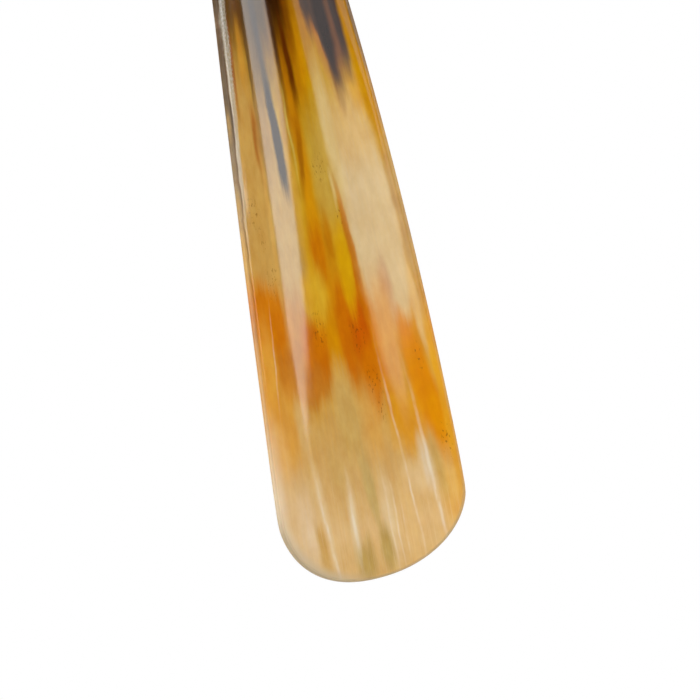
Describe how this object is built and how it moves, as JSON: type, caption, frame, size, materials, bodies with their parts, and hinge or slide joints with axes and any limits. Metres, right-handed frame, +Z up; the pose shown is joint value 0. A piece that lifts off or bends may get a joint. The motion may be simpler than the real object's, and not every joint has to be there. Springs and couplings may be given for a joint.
{
  "type": "long shoehorn",
  "caption": "Long-handled shoehorn: a flared, hollow ox-horn blade ferruled to a turned wooden handle with a brass end cap and a leather hanging loop.",
  "frame": {"origin": "on the handle's axis at the middle of the grip", "axes": "+Z up the handle towards the hanging loop, -Z towards the blade's tip; the blade's hollow side faces -Y and +X is to the right when looking into the hollow"},
  "size_m": [0.0504, 0.0353, 0.6209],
  "materials": {
    "horn": "polished translucent ox horn, amber with paler and darker lengthwise streaks",
    "walnut": "oiled walnut, turned",
    "brass": "hand-polished brass",
    "steel_stud": "plain steel rod",
    "leather": "vegetable-tanned brown strap leather"
  },
  "bodies": {
    "shoehorn": {"horn_blade": "horn", "joint_stud": "steel_stud", "ferrule": "brass", "ferrule_pins": "brass", "handle_grip": "walnut", "end_cap": "brass", "cap_screw": "brass", "eyelet": "brass", "eyelet_washer": "brass"},
    "loop": {"hanging_loop": "leather", "loop_rivet_post": "brass", "loop_rivet_cap": "brass"}
  },
  "joints": [
    {"name": "loop_swing", "type": "hinge", "parent": "shoehorn", "child": "loop", "pos_m": [0, 0, 0.096], "axis": [1, 0, 0], "range_deg": [-160, 160]}
  ]
}
